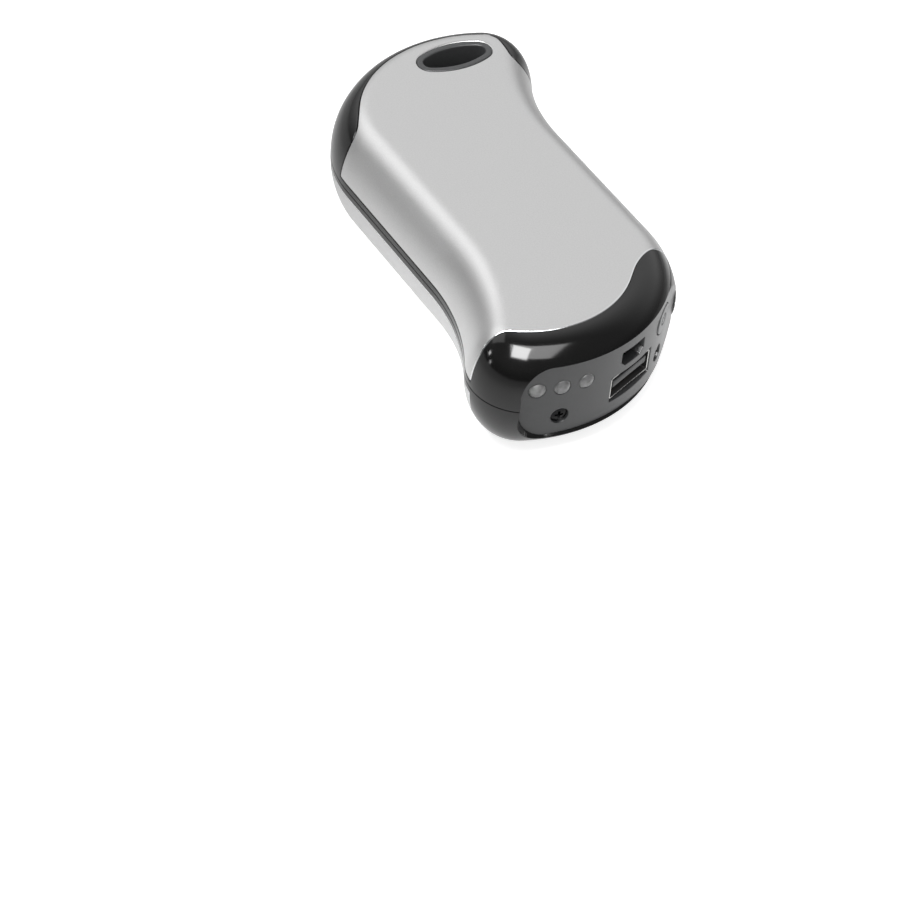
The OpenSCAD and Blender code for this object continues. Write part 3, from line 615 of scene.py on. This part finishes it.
def rounded_plan(width, height, radius):
    """Start and stretches of an oblong with rounded corners, round the origin."""
    x, y = width / 2, height / 2
    return softened([(-x, -y, radius), (x, -y, radius), (x, y, radius), (-x, y, radius)])


# Tin plate: bright, slightly milky, with drawing lines along the shell
tin_plate = finish("tin_plated_steel", ("#b4b4b2", "#c8c8c6"), (0.2, 0.34), 0.25, 0.006,
                   drawn=(1, 1, 6), sockets={"Metallic": 1})
bm = sleeve(rounded_plan(usb_w, usb_h, usb_corner), shell_t, usb_len)
foot_top = (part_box("usb_a_shell")[1].z / MM - half_t) + usb_z
for x in (-1, 1):
    for y in foot_places:
        side = x * (usb_w - shell_t) / 2
        brick(bm, (side - shell_t / 2, usb_h / 2 - foot_root, port_front - y - foot_w),
              (side + shell_t / 2, foot_top, port_front - y))
usb_shell = placed(at_panel(bm, usb_turn, -usb_z, port_front), "usb_a_port_shell")
usb_shell.data.materials.append(tin_plate)
# Inside, the plating is painted near black and matt: painted shade for the deep, dark inside of the
# port
painted_shade_tin = finish("tin_inside_painted_shade", ("#0e0e0e", "#161616"), (0.55, 0.7), 0.4, 0.01)
usb_shell.data.materials.append(painted_shade_tin)
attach(usb_shell, "case")
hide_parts("usb_a_shell")

tongue_w, tongue_t, tongue_low, tongue_in, tongue_round = 11.2, 1.8, -0.3, 0.1, 0.25
back_t, back_in, back_round = 2.1, 0.5, 0.1
tongue_root = 1.1 - usb_len
bm = brick(bmesh.new(), (-tongue_w / 2, tongue_low, tongue_root),
           (tongue_w / 2, tongue_low + tongue_t, -tongue_in), tongue_round)
brick(bm, (back_in - usb_w / 2, back_in - usb_h / 2, back_in - usb_len),
      (usb_w / 2 - back_in, usb_h / 2 - back_in, back_in + back_t - usb_len), back_round)
tongue = placed(at_panel(bm, usb_turn, -usb_z, port_front), "usb_a_tongue")
# Dark grey nylon: half matt, so that the tongue stands out from the black behind it
dark_nylon = finish("moulded_dark_nylon", ("#303132", "#3a3b3c"), (0.35, 0.45), 0.8, 0.01)
tongue.data.materials.append(dark_nylon)
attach(tongue, "case")
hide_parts("usb_a_insulator")
# Gilt: a thin, warm, bright metal
gilt = finish("gilt_contact", ("#c99a3c", "#dbb055"), (0.2, 0.3), 0.3, 0.004,
              sockets={"Metallic": 1})
dress(gilt, "usb_a_contacts")

# Charging inlet
# Folded steel shell with slanted lower corners round a black nylon tongue. It stands on
# top of the board and charges the battery.
micro_turn, micro_w, micro_h, micro_len, board_top, rest_gap = 21.3, 7.4, 2.8, 5.2, 2.4, 0.02
micro_slant, micro_corner, micro_wall, micro_spacing = 1, 0.25, 0.25, 0.1
micro_front_y = panel_wall + 0.5
micro_z = board_top + micro_h / 2 + rest_gap


def micro_plan(width, height, slant, radius):
    """Start and stretches of the inlet's outline, with its lower corners slanted."""
    x, y = width / 2, height / 2
    return softened([(-x, slant - y, radius), (slant - x, -y, radius), (x - slant, -y, radius),
                     (x, slant - y, radius), (x, y, radius), (-x, y, radius)])


bm = sleeve(micro_plan(micro_w, micro_h, micro_slant, micro_corner), micro_wall, micro_len,
            micro_spacing)
micro_shell = placed(at_panel(bm, micro_turn, micro_z, micro_front_y), "micro_usb_port_shell")
micro_shell.data.materials.append(tin_plate)
# The inlet's inside takes the same painted shade
micro_shell.data.materials.append(painted_shade_tin)
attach(micro_shell, "case")
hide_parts("micro_usb_shell")
# Black nylon: half matt, darker than the polished case
black_nylon = finish("moulded_black_nylon", ("#0c0c0c", "#151515"), (0.4, 0.5), 0.8, 0.01)
dress(black_nylon, "micro_usb_insulator", "power_switch")

# Status lights
# Three clear acrylic lights with domed fronts. Each stands on two legs on the board and
# pokes through the panel, with a collar behind it.
light_d, light_turns, light_z = 3.5, (-15.6, -7.2, 1.4), 2.7
light_face, light_len, collar_w, collar_t, dome_share = 0.1, 5.2, 0.35, 0.8, 0.75
leg_x, leg_r, leg_len, leg_root = 0.9, 0.24, 3.6, 0.2
light_r = light_d / 2
fine_spacing = 0.15


def lathe(start, stretches):
    """Round piece, face up, spun from half of its section, drawn with its axis upwards."""
    steps = 64
    bm = line_of(start, stretches, fine_spacing)
    on_axis = [e for e in bm.edges if all(abs(v.co.x) < 0.001 for v in e.verts)]
    bmesh.ops.delete(bm, geom=on_axis, context="EDGES")
    bmesh.ops.spin(bm, geom=bm.verts[:] + bm.edges[:], axis=(0, 1, 0), cent=(0, 0, 0),
                   angle=2 * pi, steps=steps, use_merge=True)
    bmesh.ops.remove_doubles(bm, verts=bm.verts, dist=0.001)
    bmesh.ops.recalc_face_normals(bm, faces=bm.faces)
    bmesh.ops.rotate(bm, verts=bm.verts, matrix=Matrix.Rotation(radians(90), 3, "X"))
    return bm


# Milky acrylic: light partly passes through it, and its tone wanders between grey and white
milky_acrylic = finish("milky_acrylic", ("#8a8b8c", "#e6e6e6"), (0.06, 0.2), 0.9, 0.12,
                       sockets={"IOR": 1.49, "Transmission Weight": 0.55})
collar = -panel_wall - 0.3
dome_c = Vector((0, -light_face - dome_share * light_r, 0))
dome_turn = 90 - degrees(atan2(dome_share, 1))
light_line = [Vector((x, y, 0)) for x, y in (
    (light_r, -light_len), (light_r, collar - collar_t), (light_r + collar_w, collar - collar_t),
    (light_r + collar_w, collar), (light_r, collar), (light_r, -light_face))]
for side, turn in zip(("left", "middle", "right"), light_turns):
    bm = lathe(Vector((0, -light_len, 0)),
               [(point, None) for point in light_line] + [(dome_c, dome_turn)])
    for x in (-leg_x, leg_x):
        leg = bmesh.ops.create_cone(bm, cap_ends=True, segments=16, radius1=leg_r, radius2=leg_r,
                                    depth=leg_len)["verts"]
        bmesh.ops.translate(bm, verts=leg, vec=(x, 0, leg_root - light_len - leg_len / 2))
    light = placed(at_panel(bm, turn, light_z), "status_light_" + side + "_lens")
    light.data.materials.append(milky_acrylic)
    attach(light, "case")
    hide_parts("status_light_" + side)

# Power switch
# Small side-pressed switch on the board, in black nylon, with a white plunger that the
# button's stem pushes.
# White nylon: soft white, half matt from the mould
white_nylon = finish("moulded_white_nylon", ("#cfcfcb", "#dcdcd8"), (0.4, 0.5), 0.8, 0.01)
dress(white_nylon, "switch_plunger")

# End panel
# Satin dark grey ABS moulding that closes the port end. Its face is upright and curved,
# and its corners follow the roll of the case.
light_gap, usb_gap, usb_cut_h, head_gap, cut_corner = 0.05, 0.15, 6.8, 0.1, 0.3
micro_cut_w, micro_cut_h, micro_cut_slant, micro_cut_lift, panel_edge = 7.2, 3.9, 1.3, 0.08, 0.2
button_d, button_turn, button_z, button_fit = 7, 41.9, 3.5, 0.1
screw_head_d, screw_head_h, screw_d, screw_len, screw_sink = 3.7, 1, 2, 5, 0.3
screw_turns, screw_z, seat_gap = (-7, 40.4), 5.2, 0.05
through = 6


def hole(plan, turn, z):
    """Block that cuts a hole with a plan through the panel."""
    return at_panel(raised(trace(*plan, fine_spacing), -through, through), turn, z), "DIFFERENCE"


def disc(radius):
    """Start and stretches of a circle round the origin."""
    return Vector((radius, 0, 0)), [(Vector((0, 0, 0)), 360)]


def joined(bm, part):
    """Adds one bmesh to another and frees it."""
    mesh = bpy.data.meshes.new("part")
    part.to_mesh(mesh)
    part.free()
    bm.from_mesh(mesh)
    bpy.data.meshes.remove(mesh)


# The face is a cylinder up to this turn, and goes on straight from there
panel_flat, face_spacing = 44, 0.5
flat_end = panel_c + panel_r * outward(panel_flat) + 2 * panel_r * outward(panel_flat + 90)
panel_face = raised(trace(panel_c + panel_r * outward(-90), [
    (panel_c, 90 + panel_flat), (flat_end, None), (flat_end - 4 * panel_r * outward(90), None),
    (panel_c + panel_r * outward(-90), None)], face_spacing), -past_face, past_face)
rough = carve(rough_out(case_form()), (panel_face, "INTERSECT"))
for face in rough.data.polygons:
    face.material_index = 0
panel_form = rough.copy()
panel_form.data = rough.data.copy()
panel_form.data.set_sharp_from_angle(angle=radians(12))
holes = [hole(disc(light_d / 2 + light_gap + panel_edge), turn, light_z) for turn in light_turns]
holes += [hole(disc(screw_head_d / 2 + head_gap + panel_edge), turn, -screw_z)
          for turn in screw_turns]
holes.append(hole(disc(button_d / 2 + button_fit + panel_edge), button_turn, button_z))
holes.append(hole(rounded_plan(usb_w + 2 * usb_gap + 2 * panel_edge, usb_cut_h + 2 * panel_edge,
                               cut_corner + panel_edge), usb_turn, -usb_z))
holes.append(hole(micro_plan(micro_cut_w + 2 * panel_edge, micro_cut_h + 2 * panel_edge,
                             micro_cut_slant, cut_corner + panel_edge),
                  micro_turn, micro_z + micro_cut_lift))
rough = carve(rough, (panel_block(-panel_edge), "INTERSECT"), *holes)
bm = walled(rough, panel_wall, panel_edge)
seat = screw_sink + screw_head_h + seat_gap
for turn in screw_turns:
    inner, outer = screw_d / 2 + head_gap, screw_head_d / 2 + 2 * head_gap
    ring = lathe(*softened([(inner, -panel_wall, 0), (outer, -panel_wall, 0),
                            (outer, -seat, 0), (inner, -seat, 0)]))
    joined(bm, at_panel(ring, turn, -screw_z))
panel = placed(bm, "end_panel_cover", panel_form)
bpy.data.objects.remove(panel_form)
# Spark-eroded mould: an even satin with a fine grain, here 0.35 mm so that it shows
satin_abs = finish("satin_grey_abs", ("#38393a", "#404142"), (0.26, 0.34), 0.35, 0.012,
                   sockets={"IOR": 1.58})
panel.data.materials.append(satin_abs)
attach(panel, "case")
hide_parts("end_panel")

# Panel screws
# Two black zinc-plated steel screws with domed heads and cross recesses, driven through
# the panel into bosses of the back half.
dome_h, cross_depth, cross_len, cross_w, cross_taper = 0.3, 0.6, 2.4, 0.6, 0.45
tip_in, tip_len = 0.4, 0.5


def cross_arm(turn):
    """Tapered cutter for one arm of the cross recess."""
    arm = bmesh.new()
    for vert in bmesh.ops.create_cube(arm, size=1)["verts"]:
        taper = 1 if vert.co.z > 0 else cross_taper
        vert.co.x *= cross_len * taper
        vert.co.y *= cross_w * (0.5 + taper / 2)
        vert.co.z = 0.5 if vert.co.z > 0 else -cross_depth - dome_h
    bmesh.ops.rotate(arm, verts=arm.verts, matrix=Matrix.Rotation(radians(turn), 3, "Z"))
    return arm, "DIFFERENCE"


def cross_screw():
    """Screw that points down, with the top of its head at height 0."""
    head = screw_head_d / 2
    crown = (head ** 2 + dome_h ** 2) / (2 * dome_h)
    half = degrees(asin(head / crown))
    tip = -screw_head_h - screw_len
    line = [Vector((x, y, 0)) for x, y in (
        (screw_d / 2 - tip_in, tip), (screw_d / 2, tip + tip_len),
        (screw_d / 2, -screw_head_h), (head, -screw_head_h), (head, -dome_h))]
    turned = lathe(Vector((0, tip, 0)),
                   [(point, None) for point in line] + [(Vector((0, -crown, 0)), half)])
    return carve(rough_out(turned), cross_arm(0), cross_arm(90))


# Black zinc: dark, with a soft metal shine, its tone wandering a little at random
black_zinc = finish("black_zinc_plate", ("#0d0d0e", "#1c1c1d"), (0.2, 0.35), 0.5, 0.02,
                    sockets={"Metallic": 0.8})
screws = bmesh.new()
model = cross_screw()
for turn in screw_turns:
    one = bmesh.new()
    one.from_mesh(model.data)
    joined(screws, at_panel(one, turn, -screw_z, screw_sink))
bpy.data.objects.remove(model)
for face in screws.faces:
    face.material_index = 0
screws = placed(screws, "panel_screw_pair")
screws.data.materials.append(black_zinc)
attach(screws, "case")
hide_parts("panel_screws")
dress(black_zinc, "case_screws")

# Power button
# Round satin cap that is nearly flush with the panel, held by a flange behind it,
# with the usual power symbol printed on it.
button_proud, flange_y, flange_t, flange_w, stem_r = 0.1, panel_wall + 0.45, 0.7, 0.8, 1.3
flange_round, button_round, stem_gap = 0.1, 0.25, 0.05
plunger_y = flange_y + 1.35
# The cap is a little smaller than in the CAD, so that a dark line shows round it
button_r = button_d / 2 - 0.12
stem_end, flange_end, flange_r = stem_gap - plunger_y, -flange_y - flange_t, button_d / 2 + flange_w
button = lathe(*softened([
    (0, stem_end, 0), (stem_r, stem_end, 0), (stem_r, flange_end, 0),
    (flange_r, flange_end, flange_round), (flange_r, -flange_y, flange_round),
    (button_r, -flange_y, 0), (button_r, button_proud, button_round), (0, button_proud, 0)]))
# Power symbol: a broken ring, open by this turn on each side of the top, and a stroke
mark_r, mark_w, mark_t, mark_gap, stroke_low, stroke_up = 1.25, 0.42, 0.03, 35, 0.1, 0.45
low, high = button_proud - mark_t, button_proud + mark_t / 2
stroke = bmesh.new()
brick(stroke, (-mark_w / 2, stroke_low, low), (mark_w / 2, mark_r + stroke_up, high))
end = bmesh.ops.create_grid(stroke, x_segments=1, y_segments=1, size=0.5)["verts"]
bmesh.ops.transform(stroke, verts=end, matrix=(
    Matrix.Rotation(radians(mark_gap), 4, "Z") @ Matrix.Translation((0, mark_r, (low + high) / 2))
    @ Matrix.Rotation(radians(90), 4, "Y") @ Matrix.Diagonal((high - low, mark_w, 1, 1))))
cap = {f for v in end for f in v.link_faces}
bmesh.ops.spin(stroke, geom=list(cap), axis=(0, 0, 1), cent=(0, 0, 0),
               angle=radians(360 - 2 * mark_gap), steps=40)
bmesh.ops.recalc_face_normals(stroke, faces=stroke.faces)
for face in stroke.faces:
    face.material_index = 1
joined(button, stroke)
button = placed(at_panel(button, button_turn, button_z), "power_button_cap")
# Light satin grey, paler than the panel, with a symbol in matt black ink
satin_cap = finish("satin_light_grey_abs", ("#727374", "#7a7b7c"), (0.3, 0.4), 0.35, 0.01,
                   sockets={"IOR": 1.53})
ink = finish("pad_printed_ink", ("#141414", "#1c1c1c"), (0.5, 0.65), 0.4, 0.004)
button.data.materials.append(satin_cap)
button.data.materials.append(ink)
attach(button, "button")
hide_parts("power_button")

# Heater films
# Amber polyimide films with etched tracks, one under each heating plate, with white PVC
# leads through a slot in each half.
# Polyimide: a glossy amber film
polyimide = finish("amber_polyimide", ("#b8641c", "#c97a2a"), (0.2, 0.32), 2, 0.01,
                   sockets={"IOR": 1.7})
tree = polyimide.node_tree
spot = add(tree, "TexCoord").outputs["Object"]
spot = add(tree, "Mapping", None, {"Vector": spot, "Scale": [1 / MM] * 3}).outputs[0]
# Etched heater track that runs to and fro, 1.2 mm wide
track_pitch = 2.4
track = add(tree, "TexWave", {"bands_direction": "X"}, {
    "Vector": spot, "Scale": pi / (10 * track_pitch), "Distortion": 0.4, "Detail": 0})
step = add(tree, "Math", {"operation": "GREATER_THAN"}, {0: track.outputs["Fac"], 1: 0.5})
tone = add(tree, "MixRGB", None, {"Fac": step.outputs[0], "Color1": linear("#c97a2a"),
                                  "Color2": linear("#8a4512")})
tree.links.new(tone.outputs[0], tree.nodes["Principled BSDF"].inputs["Base Color"])
# PVC: plain white with a waxy shine
white_pvc = finish("white_pvc_sleeve", ("#c9c9c6", "#d6d6d3"), (0.3, 0.42), 1.2, 0.02)
dress(polyimide, "front_heater_film", "back_heater_film")
dress(white_pvc, "heater_leads")

# Heating plates
# Drawn from 0.8 mm aluminium sheet, bead-blasted and anodised silver. The outer border is
# cut bright with a diamond tool after anodising; the hole's edge stays matt.
plate_t, plate_chamfer, tube_gap = 0.8, 0.22, 0.15
# Anodised over blasting: pale, soft shine. The pits of about 0.15 mm are drawn at 0.3 mm
# so that they show
blasted = finish("anodised_aluminium", ("#c2c2c2", "#d6d6d6"), (0.34, 0.44), 0.3, 0.03,
                 sockets={"Metallic": 1})
# Diamond cut: a bright, sharp line round the border
cut_edge = finish("diamond_cut_aluminium", ("#e6e7e8", "#f2f3f4"), (0.12, 0.2), 0.2, 0.004,
                  drawn=(4, 4, 1), sockets={"Metallic": 1})
for name, side, left, grow in (("back_heat_plate", -1, far_right, tube_gap + tube_wall - rim_w),
                               ("front_heat_plate", 1, far_left, tube_gap)):
    opening = raised(trace(*oval(grow + plate_chamfer)), *sorted((0, side * past_face)))
    rough = carve(rough_out(case_form()), (plate_block(side, left, -plate_chamfer), "INTERSECT"),
                  (opening, "DIFFERENCE"))
    sheet = walled(rough, plate_t, plate_chamfer, 1, 1)
    for face in sheet.faces:
        if (face.calc_center_median() - hole_c).xy.length < hole_len:
            face.material_index = 0
    plate = placed(sheet, name + "_sheet", whole_form)
    plate.data.materials.append(blasted)
    plate.data.materials.append(cut_edge)
    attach(plate, "case")
    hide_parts(name)

bpy.data.objects.remove(whole_form)

# Lanyard grommet
# Oval tube moulded in satin grey ABS, pushed through both halves from the front, with a
# rim that sits flush in the front plate.
rim_t, rim_round, bore_round, back_gap = 1, 0.25, 0.35, 0.1
grommet = raised(trace(*oval(0), 0.4), half_t - rim_t, half_t - rim_round)
top = [f for f in grommet.faces if f.normal.z > 0.9]
bottom = [f for f in grommet.faces if f.normal.z < -0.9]
tube_low = back_gap - half_t
thirds = (0, pi / 6), (pi / 6, pi / 3), (pi / 3, pi / 2)
steps = [(rim_round * (cos(a) - cos(b)), rim_round * (sin(b) - sin(a))) for a, b in thirds]
steps.append((rim_w - rim_round - bore_round, 0))
steps += [(bore_round * (sin(b) - sin(a)), -bore_round * (cos(a) - cos(b))) for a, b in thirds]
steps.append((0, tube_low - half_t + bore_round))
for thickness, depth in steps:
    bmesh.ops.inset_region(grommet, faces=top, use_boundary=True, use_even_offset=True,
                           thickness=thickness, depth=depth)
for thickness, depth in ((rim_w - tube_wall, 0), (0, half_t - rim_t - tube_low), (tube_wall, 0)):
    bmesh.ops.inset_region(grommet, faces=bottom, use_boundary=True, use_even_offset=True,
                           thickness=thickness, depth=depth)
bmesh.ops.delete(grommet, geom=top + bottom, context="FACES_ONLY")
bmesh.ops.remove_doubles(grommet, verts=grommet.verts, dist=0.03)
bmesh.ops.recalc_face_normals(grommet, faces=grommet.faces)
grommet = placed(grommet, "lanyard_grommet_oval")
# Satin mid grey: a soft, even sheen, a little paler than the panel
satin_grommet = finish("satin_mid_grey_abs", ("#434445", "#4b4c4d"), (0.35, 0.45), 0.35, 0.01,
                       sockets={"IOR": 1.53})
grommet.data.materials.append(satin_grommet)
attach(grommet, "case")
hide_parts("lanyard_grommet")
